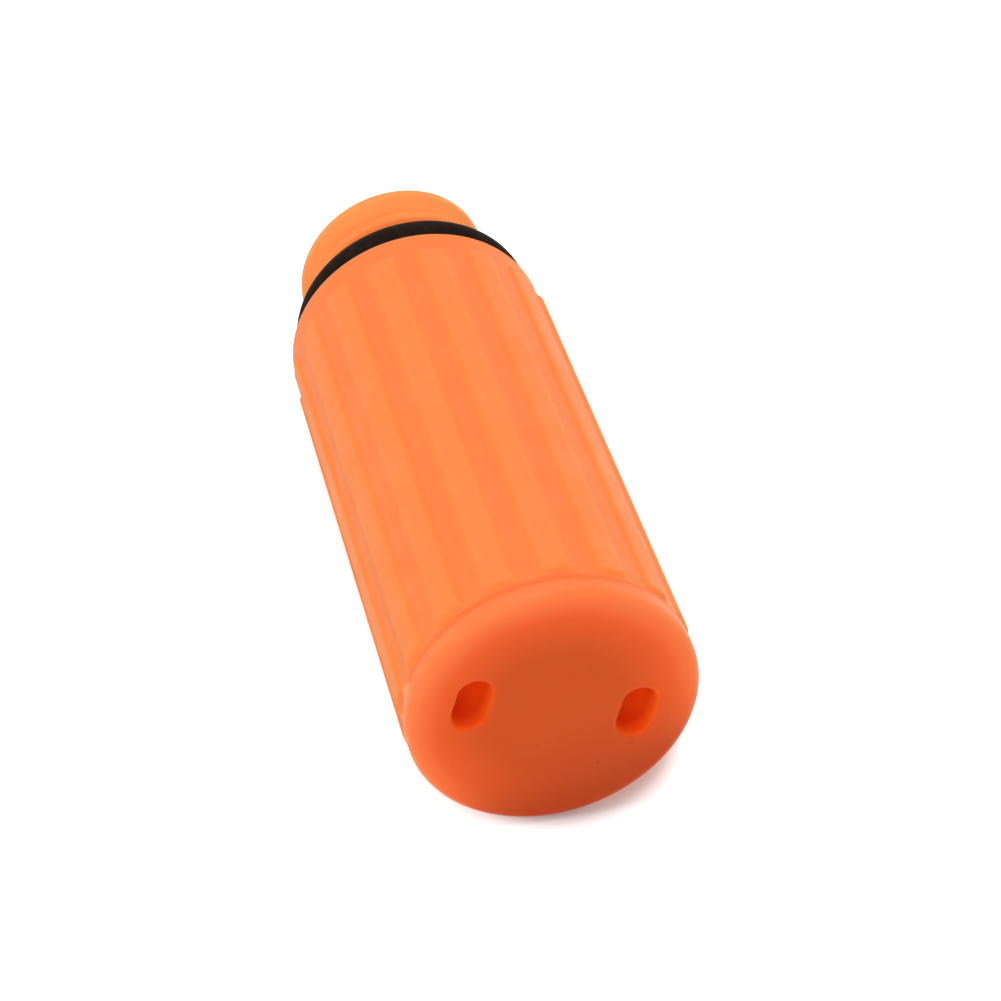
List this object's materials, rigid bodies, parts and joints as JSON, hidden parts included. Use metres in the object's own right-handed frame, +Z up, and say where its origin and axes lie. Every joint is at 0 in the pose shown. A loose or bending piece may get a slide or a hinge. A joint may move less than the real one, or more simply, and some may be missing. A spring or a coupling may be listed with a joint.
{
  "type": "waterproof screw-neck tube",
  "caption": "Small rigid waterproof tube with straight grip ribs, a slotted base plug and a threaded neck with an O-ring seal, lying on its side without its cap.",
  "frame": {"origin": "centre of the bounding box at floor level, under the middle of the lying tube", "axes": "+Y along the tube towards the neck, +Z up from the floor the tube lies on, +X to the right seen from the base"},
  "size_m": [0.0306, 0.0774, 0.0306],
  "materials": {
    "orange_plastic": "satin moulded",
    "orange_base_plastic": "satin moulded",
    "black_rubber": "satin"
  },
  "bodies": {
    "root": {"tube_body": "orange_plastic", "base_plug": "orange_base_plastic", "o_ring": "black_rubber"}
  },
  "joints": []
}
